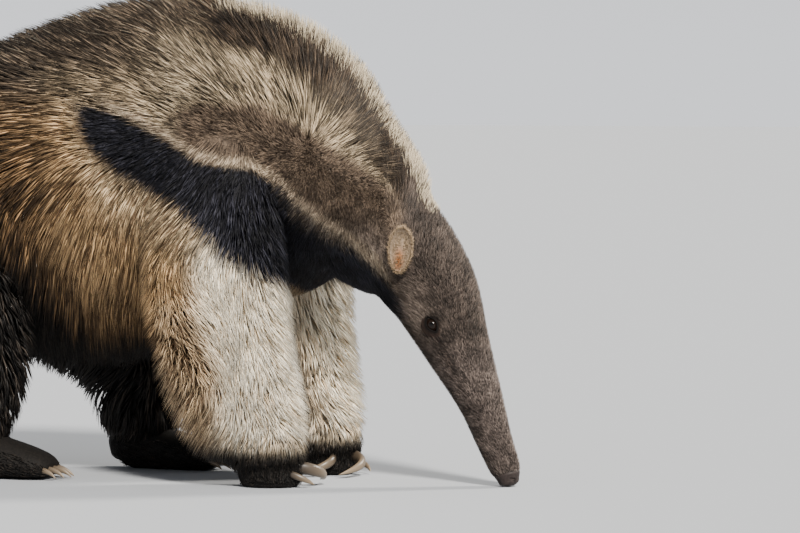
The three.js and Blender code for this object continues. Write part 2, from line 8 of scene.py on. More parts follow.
import bpy
import numpy as np
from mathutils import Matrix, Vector


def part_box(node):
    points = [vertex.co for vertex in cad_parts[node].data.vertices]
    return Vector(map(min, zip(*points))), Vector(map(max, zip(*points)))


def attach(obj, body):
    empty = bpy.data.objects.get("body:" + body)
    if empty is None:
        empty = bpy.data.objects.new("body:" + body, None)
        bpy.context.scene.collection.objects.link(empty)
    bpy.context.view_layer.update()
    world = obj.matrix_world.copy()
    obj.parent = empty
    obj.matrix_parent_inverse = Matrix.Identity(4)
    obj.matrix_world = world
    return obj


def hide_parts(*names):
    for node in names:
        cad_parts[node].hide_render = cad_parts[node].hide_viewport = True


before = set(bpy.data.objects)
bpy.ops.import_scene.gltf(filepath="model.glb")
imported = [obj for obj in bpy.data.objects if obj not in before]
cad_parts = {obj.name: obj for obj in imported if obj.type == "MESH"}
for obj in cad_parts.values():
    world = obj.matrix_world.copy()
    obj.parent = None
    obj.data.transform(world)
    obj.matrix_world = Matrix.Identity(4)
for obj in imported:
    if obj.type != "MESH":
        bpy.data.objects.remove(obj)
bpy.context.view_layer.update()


# SKIN
# The real piece is one thick hide over head, neck, body, tail and legs. It is made of closed tubes
# through a few named cross-sections, melted into one surface, and carries the coat's markings.
def middle_rows(*rows):
    """Rows of sections on the mid plane, each given as x, z, three reaches and three coat depths.

    A full row holds a section's centre x, y, z, the skin's reach up, down, outward and inward from
    it, and the coat's depth on those four sides. On a leg, up means forward and down means backward.
    """
    return np.array([[x, 0, z, u, d, s, s, cu, cd, cs, cs] for x, z, u, d, s, cu, cd, cs in rows], float)


BODY = middle_rows(
    (288, 7, 13, 12, 12, 2, 2, 2),  # nose
    (283, 24, 18, 18, 16, 3, 3, 3),  # lips
    (268, 59, 22, 21, 18, 3.5, 3.5, 3.5),
    (249, 109, 28.5, 26.5, 23, 4, 4, 4),  # middle of the snout
    (220, 170, 41.5, 37.5, 31.5, 5, 5, 5),
    (200, 210, 53, 45, 38, 6, 5, 3),  # eyes
    (182, 247, 57.5, 53, 46, 8, 6, 6),  # cheeks
    (157, 283, 60, 60, 54, 12, 7, 8),  # ears
    (125, 307, 70, 70, 60, 21, 8, 10),  # nape
    (92, 335, 89, 89, 74, 32, 12, 12),  # neck
    (32, 363, 134, 134, 100, 40, 20, 14),  # foot of the neck
    (-60, 400, 166, 166, 118, 44, 26, 18),  # withers
    (-150, 404, 174, 174, 128, 46, 60, 24),
    (-240, 398, 168, 168, 131, 48, 95, 30),  # middle of the back
    (-330, 386, 150, 150, 128, 50, 110, 34),
    (-420, 370, 124, 124, 118, 52, 105, 38),  # loin
    (-500, 355, 98, 98, 100, 52, 85, 42),  # hips
    (-565, 345, 70, 68, 75, 52, 60, 44),
    (-615, 338, 44, 44, 46, 50, 50, 44),  # rump
)
TAIL = middle_rows(
    (-600, 338, 45, 45, 46, 48, 60, 40),
    (-680, 320, 42, 42, 40, 52, 150, 46),
    (-800, 291, 36, 36, 33, 62, 212, 50),
    (-930, 261, 30, 30, 28, 72, 202, 50),
    (-1060, 235, 25, 25, 23, 78, 184, 48),
    (-1180, 212, 20, 20, 18, 78, 164, 44),
    (-1290, 192, 13, 13, 11, 70, 142, 38),  # tip of the flesh
    (-1390, 172, 4, 4, 4, 52, 112, 30),
    (-1470, 150, 2, 2, 2, 26, 62, 16),
)
FORELEG = np.array([
    [-72, 84, 430, 66, 66, 40, 30, 4, 4, 4, 4],
    [-68, 102, 350, 80, 80, 50, 40, 14, 14, 16, 8],  # shoulder
    [-64, 109, 270, 76, 76, 50, 44, 26, 28, 24, 12],  # elbow
    [-50, 109, 190, 62, 64, 46, 42, 34, 46, 32, 22],
    [-27, 104, 118, 48, 50, 40, 38, 36, 62, 32, 26],  # forearm
    [-8, 99, 66, 38, 42, 35, 34, 38, 56, 28, 24],  # wrist
    [1, 98, 38, 41, 40, 36, 34, 20, 18, 12, 10],
    [4, 98, 14, 43, 38, 36, 34, 2, 2, 2, 2],  # knuckles
    [4, 98, -8, 38, 32, 31, 29, 0, 0, 0, 0],  # sole, cut level by the ground
], float)
HINDLEG = np.array([
    [-512, 66, 372, 82, 82, 40, 30, 4, 4, 4, 4],
    [-492, 90, 322, 104, 96, 50, 40, 20, 22, 22, 10],  # hip
    [-455, 100, 262, 90, 88, 52, 44, 28, 36, 28, 14],  # thigh
    [-428, 103, 198, 68, 66, 46, 42, 34, 46, 30, 20],  # knee
    [-424, 101, 134, 50, 50, 40, 38, 34, 46, 28, 24],  # shank
    [-427, 99, 78, 40, 43, 35, 34, 25, 36, 24, 22],  # heel
    [-424, 98, 22, 30, 32, 26, 26, 4, 4, 4, 4],
], float)
HINDFOOT = np.array([
    [-88, 99, 18, 10, 14, 16, 16, 3, 1, 3, 3],
    [-76, 99, 26, 26, 30, 28, 28, 5, 1, 4, 4],
    [-40, 98, 27, 29, 32, 34, 33, 5, 1, 4, 4],
    [5, 97, 22, 24, 26, 38, 36, 4, 1, 3, 3],
    [42, 97, 16, 17, 19, 37, 35, 3, 1, 3, 3],
    [58, 97, 11, 9, 12, 28, 27, 2, 1, 2, 2],
], float)
SIDES = {"right": -1, "left": 1}
HIND_X = {"right": -350, "left": -200}  # where each hind foot stands
HIND_TABLE_X = -376  # where it stands in the leg's rows
STEP_SHARE = np.array([0, 0.05, 0.3, 0.72, 0.95, 1, 1])  # how far each section goes with its foot


def sided(rows, side, x=0.0):
    """The rows of one side's limb: y is turned to that side and x moved."""
    placed = rows.copy()
    placed[:, 0] += x
    placed[:, 1] *= side
    return placed


# each form's rows, its outward side, and 1, or -1 on a leg, whose sections' up is forward
forms = {"body": (BODY, 1, 1), "tail": (TAIL, 1, 1)}
for name, side in SIDES.items():
    step = STEP_SHARE * (HIND_X[name] - HIND_TABLE_X)
    forms[f"foreleg_{name}"] = (sided(FORELEG, side), side, -1)
    forms[f"hindleg_{name}"] = (sided(HINDLEG, side, step), side, -1)
    forms[f"hindfoot_{name}"] = (sided(HINDFOOT, side, HIND_X[name]), side, 1)


def unit(v):
    """Vectors scaled to length one."""
    return v / np.maximum(np.linalg.norm(v, axis=-1, keepdims=True), 1e-9)


def columns_at(rows, t):
    """Catmull-Rom through every column of the rows, with both ends carried on straight."""
    padded = np.vstack([2 * rows[0] - rows[1], rows, 2 * rows[-1] - rows[-2]])
    i = np.clip(np.floor(t).astype(int), 0, len(rows) - 2)
    u = (t - i)[..., None]
    a, b, c, d = (padded[i + k] for k in range(4))
    start = (c - a) / 2
    end = (d - b) / 2
    cubic = (2 * b - 2 * c + start + end) * u**3
    return cubic + (3 * c - 3 * b - 2 * start - end) * u**2 + start * u + b


def surface(form, t, theta, depth):
    """Points round a form, from straight up (theta 0) through outward.

    The reach is the skin's plus that share of the coat's depth, as half an ellipse on each side of
    the centre: up or down by the cosine, outward or inward by the sine.
    """
    rows, side, kind = forms[form]
    t, theta, depth = np.broadcast_arrays(np.asarray(t, float), theta, depth)
    along = unit(columns_at(rows, t + 0.3)[..., :3] - columns_at(rows, t - 0.3)[..., :3])
    out = np.zeros_like(along)
    out[..., 1] = side
    out = unit(out - along * (along * out).sum(-1, keepdims=True))
    up = np.cross(out, along) * side * kind
    row = columns_at(rows, t)
    reach = np.maximum(row[..., 3:7], 0.4) + depth[..., None] * np.maximum(row[..., 7:11], 0)
    c, s = np.cos(theta), np.sin(theta)
    rise = np.where(c > 0, reach[..., 0], reach[..., 1]) * c
    spread = np.where(s > 0, reach[..., 2], reach[..., 3]) * s
    point = row[..., :3] + up * rise[..., None] + out * spread[..., None]
    point[..., 2] = np.maximum(point[..., 2], 0)
    return point


# the right eye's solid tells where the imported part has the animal's own origin
EYE_OF_SOLIDS = (198, -34.5, 203)
eye_low, eye_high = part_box("eye_right")
shift = np.array((eye_low + eye_high) / 2) * 1000 - EYE_OF_SOLIDS


def paint(mesh, colours):
    """The markings, with painted shade in some meshes: one colour at each vertex of a mesh."""
    rgba = np.ones((len(mesh.vertices), 4), np.float32)
    rgba[:, :3] = colours
    mesh.color_attributes.new("markings_and_shade", "FLOAT_COLOR", "POINT").data.foreach_set("color", rgba.ravel())


def make_mesh(name, points, faces, colours=None, bake=None):
    """One mesh object from arrays of points in millimetres and of triangles or quads."""
    mesh = bpy.data.meshes.new(name)
    sides = faces.shape[1]
    mesh.vertices.add(len(points))
    mesh.vertices.foreach_set("co", ((points + shift) / 1000).astype(np.float32).ravel())
    mesh.loops.add(faces.size)
    mesh.loops.foreach_set("vertex_index", faces.astype(np.int32).ravel())
    mesh.polygons.add(len(faces))
    mesh.polygons.foreach_set("loop_start", np.arange(0, faces.size, sides, dtype=np.int32))
    if colours is not None:
        paint(mesh, colours)
    if bake is not None:
        uv = mesh.uv_layers.new(name="OFBake")
        uv.data.foreach_set("uv", bake[faces.ravel()].astype(np.float32).ravel())
    mesh.update()
    mesh.validate()
    mesh.polygons.foreach_set("use_smooth", np.ones(len(mesh.polygons), bool))
    made = bpy.data.objects.new(name, mesh)
    bpy.context.scene.collection.objects.link(made)
    return made


def closed_tube(rings):
    """Triangles of a closed tube through rings of points, with a centre point added at each end.

    They face outwards: where the volume inside them comes out negative, each is turned round.
    """
    count, around = rings.shape[:2]
    points = np.vstack([rings.reshape(-1, 3), rings[0].mean(0), rings[-1].mean(0)])
    j = np.arange(around)
    k = (j + 1) % around
    starts = around * np.arange(count - 1)[:, None]
    a, b = (starts + j).ravel(), (starts + k).ravel()
    sides = np.vstack([np.stack([a, b, b + around], 1), np.stack([a, b + around, a + around], 1)])
    first = count * around
    last = first - around
    near_cap = np.stack([np.full(around, first), k, j], 1)
    far_cap = np.stack([np.full(around, first + 1), last + j, last + k], 1)
    faces = np.vstack([sides, near_cap, far_cap])
    one, two, three = points[faces.T]
    volume = (one * np.cross(two, three)).sum()
    return points, faces if volume > 0 else faces[:, ::-1]


def linear(colour):
    """Linear light from red, green and blue as a screen shows them, 0 to 255."""
    v = np.asarray(colour, float) / 255
    return np.where(v <= 0.04045, v / 12.92, ((v + 0.055) / 1.055) ** 2.4)


def over(under, colour, mask):
    """Colours in linear light, with one more laid over them by a mask from 0 to 1."""
    return under * (1 - mask) + linear(colour) * mask


def step_between(v, low, high):
    """A smooth step from 0 at low to 1 at high."""
    u = np.clip((v - low) / (high - low), 0, 1)
    return u * u * (3 - 2 * u)


# The coat's regions, in the order in which they are laid over one another: its dark hairs, its light
# hairs and the share of light ones, then how long the hair lies along the body in millimetres, and
# what share of the coat's depth its tips reach.
REGIONS = {
    "back": ((20, 16, 14), (166, 145, 122), 0.20, 42, 1.0),
    "grizzle": ((30, 24, 20), (208, 184, 150), 0.38, 38, 1.0),
    "saddle": ((34, 27, 23), (226, 205, 172), 0.45, 27, 1.0),
    "crest": ((15, 12, 11), (84, 68, 55), 0.20, 30, 1.0),
    "neck": ((46, 37, 31), (134, 116, 99), 0.42, 8.5, 0.6),
    "crown": ((30, 25, 23), (106, 94, 86), 0.30, 6, 0.75),
    "cheek": ((84, 72, 64), (188, 172, 159), 0.52, 8, 0.8),
    "snout": ((40, 34, 32), (132, 119, 112), 0.38, 4.5, 0.8),
    "tan": ((66, 45, 29), (230, 192, 142), 0.56, 52, 1.0),
    "dark tan": ((28, 21, 16), (188, 148, 104), 0.24, 58, 1.0),
    "shoulder": ((104, 80, 58), (236, 210, 170), 0.62, 32, 0.9),
    "rump": ((17, 14, 12), (108, 91, 75), 0.20, 58, 1.0),
    "belly": ((12, 11, 11), (54, 47, 41), 0.24, 50, 1.0),
    "back of leg": ((84, 63, 45), (220, 192, 154), 0.58, 44, 1.0),
    "leg": ((230, 208, 176), (255, 246, 226), 0.86, 36, 0.95),
    "stripe": ((12, 12, 15), (56, 56, 66), 0.30, 18, 0.8),
    "line": ((112, 95, 80), (218, 199, 172), 0.62, 12, 0.8),
    "streak": ((20, 16, 15), (80, 68, 62), 0.20, 4, 0.7),
    "tail": ((21, 17, 15), (100, 84, 71), 0.26, 105, 1.0),
}
# The regions' borders, as steps across and down a side view of the animal, turned 20 degrees from
# its right towards its front. The view's origin is where X = 0 shows at a reach of 100 mm.
VIEW_STEP = 1.25
VIEW_COS, VIEW_SIN = 0.94, 0.342
VIEW_ORIGIN = (265, 487)
VIEW_REACH = 100
STRIPE_TOP = np.array([(60, 98), (77, 103), (120, 117), (165, 141), (198, 162), (221, 167), (250, 169),
                       (280, 188), (301, 214), (326, 232), (352, 248), (382, 276), (404, 306)], float)
STRIPE_BOTTOM = np.array([(60, 104), (72, 118), (86, 150), (115, 176), (172, 207), (196, 231), (221, 260),
                          (260, 277), (287, 290), (312, 302), (352, 306), (391, 330), (404, 345)], float)
FLANK_BOTTOM = np.array([(-400, 236), (-60, 238), (0, 250), (40, 292), (80, 338), (105, 350), (130, 342),
                         (160, 362), (175, 400)], float)
NECK_TOP = np.array([(150, 118), (198, 101), (260, 101), (312, 131), (358, 159), (400, 192),
                     (430, 216)], float)
DARK_BAND = np.array([(185, 30), (250, 38), (290, 52), (330, 82), (368, 126), (395, 165), (420, 205),
                      (440, 236)], float)


def side_view(p):
    """Where points show in the side view: across and down. The left side is read as the right."""
    across = VIEW_COS * p[..., 0] + VIEW_SIN * (VIEW_REACH - np.abs(p[..., 1]))
    return VIEW_ORIGIN[0] + across / VIEW_STEP, VIEW_ORIGIN[1] - p[..., 2] / VIEW_STEP


def coat_at(p, ragged=(0, 0)):
    """The coat's facts at points: dark and light colour, share of light, length, share of depth.

    Each region covers points from 0 to 1 and is blended over the regions before it. The borders are
    moved across and down by the ragged distances.
    """
    x, y = side_view(p)
    x = x + ragged[0]
    y = y + ragged[1]
    stripe_top = np.interp(x, *STRIPE_TOP.T)
    stripe_bottom = np.interp(x, *STRIPE_BOTTOM.T)
    flank_bottom = np.interp(x, *FLANK_BOTTOM.T)
    neck_top = np.interp(x, *NECK_TOP.T)
    # behind the stripe the back's dark hair runs out gradually into the flank's tan
    soft = np.interp(x, [-20, 50, 92], [48, 34, 0])
    below = step_between(y, stripe_bottom - 4 - 0.6 * soft, stripe_bottom + 5 + soft)
    below = below * (1 - step_between(x, 360, 374))
    above = 1 - step_between(y, stripe_top - 4, stripe_top + 2)
    head = step_between(x + 0.12 * (y - 220), 392, 410)
    from_band = y - np.interp(x, *DARK_BAND.T)
    half_band = np.interp(x, [185, 300, 370, 430], [6, 12, 20, 22])
    behind = -p[..., 0]
    outer = step_between(np.abs(p[..., 1]), 40, 66)
    belly_edge = step_between(y, flank_bottom - 8, flank_bottom + 14) * (1 - step_between(x, 160, 172))
    belly_middle = step_between(y, 292, 316) * (1 - outer) * (1 - step_between(x, 350, 366))
    haunch = step_between(y, 200, 262) * step_between(behind, 330, 460)
    leg_front = step_between(x - 0.35 * np.clip(y - 300, 0, 70), 176, 212)
    cover = {
        "grizzle": step_between(x, 8, 60) * step_between(y, 50, 86),
        "saddle": step_between(x, 110, 170) * step_between(y + 0.3 * x, 66, 96)
        * (1 - step_between(x, 398, 420)),
        "crest": 0.95 * (1 - step_between(from_band, half_band, half_band + 9))
        * step_between(x, 160, 225) * (1 - step_between(x, 430, 446)),
        "neck": above * step_between(y, neck_top - 5, neck_top + 9) * step_between(x, 152, 186),
        "crown": head,
        "cheek": 0.9 * np.exp(-(((x - 368) / 24) ** 2) - ((y - 258) / 28) ** 2) * above
        + 0.6 * np.exp(-(((x - 410) / 17) ** 2) - ((y - 312) / 28) ** 2),
        "snout": head * step_between(y, 325, 372),
        "tan": below,
        "dark tan": below * np.maximum(
            1 - step_between(x, 8, 74), step_between(y, flank_bottom - 42, flank_bottom - 4)),
        "shoulder": below * (1 - step_between(y - stripe_bottom, 16, 72)) * step_between(x, 40, 105),
        "rump": step_between(behind, 360, 540),
        "belly": np.maximum(np.maximum(belly_edge, belly_middle), haunch),
        "back of leg": below * step_between(x, 148, 162) * step_between(y, 285, 315) * outer,
        "leg": below * leg_front * step_between(y, 228, 262) * outer,
        "stripe": step_between(y, stripe_top - 2, stripe_top + 2) * step_between(x, 70, 80)
        * (1 - step_between(y, stripe_bottom - 4, stripe_bottom + 4)) * (1 - step_between(x, 397, 405)),
        "line": (1 - step_between(y, stripe_top - 3, stripe_top + 1)) * (1 - step_between(x, 380, 398))
        * step_between(y, stripe_top - np.interp(x, [110, 180, 260, 370], [17, 13, 14, 20]), stripe_top - 8)
        * step_between(x, 84, 112),
        "streak": 0.8 * np.exp(-(((x - 437 - 0.42 * (y - 334)) / 4.5) ** 2)) * head
        * step_between(y, 326, 336) * (1 - step_between(y, 362, 392)),
        "tail": step_between(behind, 570, 720),
    }
    facts = {
        name: np.concatenate([linear(dark), linear(light), rest])
        for name, (dark, light, *rest) in REGIONS.items()
    }
    mix = np.broadcast_to(facts["back"], (*x.shape, 9)).copy()
    for name, mask in cover.items():
        mix += (facts[name] - mix) * np.clip(mask, 0, 1)[..., None]
    # the toes and the soles are black
    toes = (1 - step_between(p[..., 2], 40, 58)) * (1 - head)
    mix += (facts["belly"] - mix) * toes[..., None]
    return mix


def skin_tube(form, start, end, rings, around=48, tip=0.0):
    """A form's closed tube at the skin, with a point drawn out past its first ring by the tip length."""
    t = np.linspace(start, end, rings)[:, None]
    loops = surface(form, t, np.linspace(0, 2 * np.pi, around, endpoint=False), 0.0)
    if tip:
        way = unit(loops[0].mean(0) - loops[1].mean(0))
        domes = [(loops[0] - loops[0].mean(0)) * np.cos(a) + loops[0].mean(0) + way * tip * np.sin(a)
                 for a in (1.35, 1.05, 0.7, 0.35)]
        loops = np.concatenate([np.array(domes), loops])
    return closed_tube(loops)


VOXEL = 0.0055  # metres
tubes = [skin_tube("body", 0, 18, 150, tip=7), skin_tube("tail", 0, 7.2, 60)]
for name in SIDES:
    tubes.append(skin_tube(f"foreleg_{name}", 0, 8, 50))
    tubes.append(skin_tube(f"hindleg_{name}", 0, 6, 44))
    tubes.append(skin_tube(f"hindfoot_{name}", 0, 5, 30, tip=6))
offsets = np.cumsum([0] + [len(p) for p, _ in tubes[:-1]])
tube_triangles = [faces + offset for (_, faces), offset in zip(tubes, offsets)]
skin = make_mesh("skin", np.vstack([points for points, _ in tubes]), np.vstack(tube_triangles))
melt = skin.modifiers.new("melt", "REMESH")
melt.mode = "VOXEL"
melt.voxel_size = VOXEL
soften = skin.modifiers.new("soften", "SMOOTH")
soften.factor = 0.5
soften.iterations = 5
bpy.context.view_layer.update()
melted = bpy.data.meshes.new_from_object(skin.evaluated_get(bpy.context.evaluated_depsgraph_get()))
skin.modifiers.clear()
skin.data = melted
co = np.empty(len(melted.vertices) * 3, np.float32)
melted.vertices.foreach_get("co", co)
points = co.reshape(-1, 3) * 1000 - shift
# a shallow hollow where each eye sits
EYE_X, EYE_Y, EYE_Z = 198, 32.5, 203
HOLLOW = 3.5
for side in SIDES.values():
    away = np.linalg.norm(points - (EYE_X, (EYE_Y + 5.5) * side, EYE_Z), axis=1)
    points[:, 1] -= side * HOLLOW * (1 - step_between(away, 4, 17))
melted.vertices.foreach_set("co", ((points + shift) / 1000).astype(np.float32).ravel())
facts = coat_at(points)
# under short fur the skin has the fur's own colour, and under a long coat it lies in shade
lit = np.interp(facts[:, 7:8], [6, 20], [0.9, 0.5])
paint(melted, lit * (facts[:, :3] + (facts[:, 3:6] - facts[:, :3]) * facts[:, 6:7] * 0.85))
melted.polygons.foreach_set("use_smooth", np.ones(len(melted.polygons), bool))
melted.update()


def set_inputs(node, values):
    """Gives a node's inputs their values by name or number."""
    for name, value in values.items():
        node.inputs[name].default_value = value


# Short hairs lying flat: speckles in the colour and a fine bump. It is used by skin, lids, nose and ears.
speckle = bpy.data.node_groups.new("short hair", "ShaderNodeTree")
for name, way, kind in (("Colour", "INPUT", "Color"), ("Contrast", "INPUT", "Float"),
                        ("Colour", "OUTPUT", "Color"), ("Height", "OUTPUT", "Float")):
    speckle.interface.new_socket(name, in_out=way, socket_type=f"NodeSocket{kind}")
nodes = speckle.nodes
given = nodes.new("NodeGroupInput")
result = nodes.new("NodeGroupOutput")
place = nodes.new("ShaderNodeTexCoord")
grain = nodes.new("ShaderNodeTexNoise")
set_inputs(grain, {"Scale": 420, "Detail": 3})
spread_out = nodes.new("ShaderNodeMapRange")
set_inputs(spread_out, {"From Min": 0.35, "From Max": 0.65, "To Min": -1, "To Max": 1})
strength = nodes.new("ShaderNodeMath")
strength.operation = "MULTIPLY_ADD"
set_inputs(strength, {2: 1})
scale = nodes.new("ShaderNodeVectorMath")
scale.operation = "SCALE"
for source, output, target, socket in (
    (place, "Object", grain, "Vector"),
    (grain, "Fac", spread_out, "Value"),
    (spread_out, "Result", strength, 0),
    (given, "Contrast", strength, 1),
    (given, "Colour", scale, 0),
    (strength, 0, scale, "Scale"),
    (scale, 0, result, "Colour"),
    (grain, "Fac", result, "Height"),
):
    speckle.links.new(source.outputs[output], target.inputs[socket])


def material(name, roughness, specular=0.3, contrast=None, colour=None, bump=0.0):
    """A material that reads the markings with their painted shade, or has one colour, with short hair where
    contrast is given.
    """
    made = bpy.data.materials.new(name)
    made.use_nodes = True
    nodes = made.node_tree.nodes
    links = made.node_tree.links
    shader = nodes["Principled BSDF"]
    set_inputs(shader, {"Roughness": roughness, "Specular IOR Level": specular})
    if colour is not None:
        set_inputs(shader, {"Base Color": (*linear(colour), 1)})
        return made
    markings_and_shade = nodes.new("ShaderNodeAttribute")
    markings_and_shade.attribute_name = "markings_and_shade"
    if contrast is None:
        links.new(markings_and_shade.outputs["Color"], shader.inputs["Base Color"])
        return made
    hair = nodes.new("ShaderNodeGroup")
    hair.node_tree = speckle
    set_inputs(hair, {"Contrast": contrast})
    links.new(markings_and_shade.outputs["Color"], hair.inputs["Colour"])
    links.new(hair.outputs["Colour"], shader.inputs["Base Color"])
    relief = nodes.new("ShaderNodeBump")
    set_inputs(relief, {"Strength": bump, "Distance": 0.001})
    links.new(hair.outputs["Height"], relief.inputs["Height"])
    links.new(relief.outputs["Normal"], shader.inputs["Normal"])
    return made


skin.data.materials.append(material("skin", 0.75, 0.2, contrast=0.5, bump=0.5))
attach(skin, "root")
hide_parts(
    "head", "neck", "torso_front", "torso_rear", "tail_base", "tail_middle", "tail_tip",
    "foreleg_right", "foreleg_left", "forefoot_right", "forefoot_left",
    "hindleg_right", "hindleg_left", "hindfoot_right", "hindfoot_left",
)


# EYES
# Small, dark and wet, deep in the lids. Each is a ball with a pupil and a brown iris, whose colours
# follow the angle from its outward axis.
EYE_RADIUS = 8.5
wet = material("eye", 0.1, 0.16)
set_inputs(wet.node_tree.nodes["Principled BSDF"], {"Coat Weight": 0.08})
eye_axes = {}
for name, side in SIDES.items():
    out = unit(np.array([0.2, side, 0.12]))
    along = unit(np.array([0.55, 0, -0.83]) - out * np.dot(out, (0.55, 0, -0.83)))
    up = np.cross(along, out) * side
    centre = np.array([EYE_X, EYE_Y * side, EYE_Z])
    eye_axes[side] = (centre, along, up, out)
    angle = np.linspace(0.02, np.pi - 0.02, 40)[:, None, None]
    turn = np.linspace(0, 2 * np.pi, 48, endpoint=False)[None, :, None]
    ball = centre + EYE_RADIUS * (
        np.cos(angle) * out + np.sin(angle) * (np.cos(turn) * along + np.sin(turn) * up)
    )
    ball_points, ball_faces = closed_tube(ball)
    from_axis = np.arccos(np.clip(((ball_points - centre) / EYE_RADIUS) @ out, -1, 1))[:, None]
    iris = step_between(from_axis, 0.28, 0.36)
    white = step_between(from_axis, 0.80, 0.95)
    shades = over(over(linear((4, 3, 3)), (22, 14, 10), iris), (34, 24, 21), white)
    eye = make_mesh(f"eye_{name}", ball_points, ball_faces, shades)
    eye.data.materials.append(wet)
    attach(eye, "root")
    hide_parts(f"eye_{name}")


# LIDS
# Soft rims of dark skin round each eye, longer toward the snout than across. Each is a closed ring:
# a bent section, from the edge on the ball over the rim and down under the skin, swept round.
lid_skin = material("lids", 0.8, 0.1, contrast=0.35, bump=0.4)
LID_STEPS = 64
for name, side in SIDES.items():
    centre, along, up, out = eye_axes[side]
    turn = np.linspace(0, 2 * np.pi, LID_STEPS, endpoint=False)[:, None]
    # the section's distance from the opening's edge, and its height over the ball's middle, with
    # two shallow folds before it dips under the fur
    away = np.array([0.0, 0.5, 1.4, 2.3, 2.9, 3.7, 4.6, 5.2, 6.2, 7.6, 9.4, 11.5, 10.5, 3.0, 0.4])
    height = np.array([5.8, 7.2, 8.2, 8.0, 7.1, 7.1, 6.9, 6.1, 5.6, 4.4, 2.6, 0.4, -2.0, 0.6, 3.8])
    corner = np.abs(np.cos(turn)) ** 5
    long_way = (6.9 + 2.3 * corner + 0.85 * away) * np.cos(turn)
    short_way = (5.2 - 0.8 * corner + 0.8 * away) * np.sin(turn)
    droop = -1.5 * np.abs(np.cos(turn)) ** 2 * np.exp(-away / 3.0)
    ring = centre + long_way[..., None] * along + short_way[..., None] * up
    ring = ring + (height + droop)[..., None] * out
    count = len(away)
    i, j = np.meshgrid(np.arange(LID_STEPS), np.arange(count), indexing="ij")
    next_i, next_j = (i + 1) % LID_STEPS, (j + 1) % count
    a, b, c, d = i * count + j, i * count + next_j, next_i * count + next_j, next_i * count + j
    faces = np.stack([a, d, c, b], -1).reshape(-1, 4)
    shade = np.broadcast_to(step_between(away, 2.6, 9)[None, :, None], (LID_STEPS, count, 1))
    tint = over(linear((13, 10, 9)), (52, 42, 37), shade)
    faces = faces if side > 0 else faces[:, ::-1]
    lids = make_mesh(f"lids_{name}", ring.reshape(-1, 3), faces, tint.reshape(-1, 3))
    lids.data.materials.append(lid_skin)
    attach(lids, "root")


# NOSE
# The bare, dark end of the snout, with two curved nostrils and the short mouth below them. It is a
# tube just over the skin, pressed in along the nostrils and the slit.
t = np.linspace(0, 0.85, 46)[:, None]
theta = np.linspace(0, 2 * np.pi, 128, endpoint=False)
loops = surface("body", t, theta, 0.35)
middle = loops[0].mean(0)
way = unit(middle - loops[3].mean(0))
angles = np.array([1.5, 1.38, 1.25, 1.1, 0.95, 0.8, 0.65, 0.5, 0.35, 0.18])[:, None, None]
domes = (loops[0] - middle) * np.cos(angles) + middle + way * 7.5 * np.sin(angles)
loops = np.concatenate([domes, loops])
middle_line = loops.mean(1, keepdims=True)
inward = unit(middle_line - loops)
place_along = np.concatenate([-0.28 * np.sin(angles[:, 0, 0]), t[:, 0]])[:, None]
around = (theta + np.pi) % (2 * np.pi) - np.pi
nostril = 0
for side in SIDES.values():
    curve = side * (0.62 + 1.6 * np.maximum(place_along + 0.05, 0))
    nostril = nostril + np.exp(-((place_along - 0.02) / 0.13) ** 2 - ((around - curve) / 0.17) ** 2)
slit = np.exp(-((np.abs(around) - 2.2) / 0.075) ** 2) * (1 - step_between(place_along, 0.42, 0.6))
slit = slit * step_between(place_along, -0.26, -0.12)
NOSTRIL_DEPTH = 3.2
press = NOSTRIL_DEPTH * np.minimum(nostril, 1) + 1.5 * slit
faded = 2.6 * step_between(place_along, 0.5, 0.85)
loops = loops + inward * (press + faded)[..., None]
loops[..., 2] = np.maximum(loops[..., 2], 1.5)
nose_points, nose_faces = closed_tube(loops)
# painted shade in the nostrils and the mouth's slit: the deeper the skin is pressed in, the darker
deep = np.concatenate([np.clip(press / NOSTRIL_DEPTH, 0, 1).ravel(), [0, 0]])[:, None]
nose_tint_and_shade = over(linear((44, 37, 35)), (8, 6, 6), deep)
nose = make_mesh("nose", nose_points, nose_faces, nose_tint_and_shade)
nose.data.materials.append(material("nose", 0.55, 0.2, contrast=0.25, bump=0.35))
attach(nose, "root")


# EARS
# Small oval cups of thin skin, open outward and a little forward. A back like half an egg meets a
# rolled rim, and the inside is a dish with the canal's hollow near its foot.
ear_skin = material("ear", 0.6, 0.3, contrast=0.25, bump=0.3)
EAR_HALF_LENGTH = 30
EAR_STEPS = 26  # from the middle to the rim, on the back and again on the inside


def ear_width(upward):
    """Half the ear's width: greatest above its middle, and rounding off at both ends."""
    return 14 * (1 + 0.13 * upward - 0.12 * np.abs(upward) ** 3)


def ear_dish(r, upward, rim, depth):
    """The inside's height: the rim's, less a depth that is greatest in the middle and near the tip."""
    return rim - depth * (1 - np.clip(r / 0.93, 0, 1) ** 2.4) * (0.72 + 0.4 * upward)


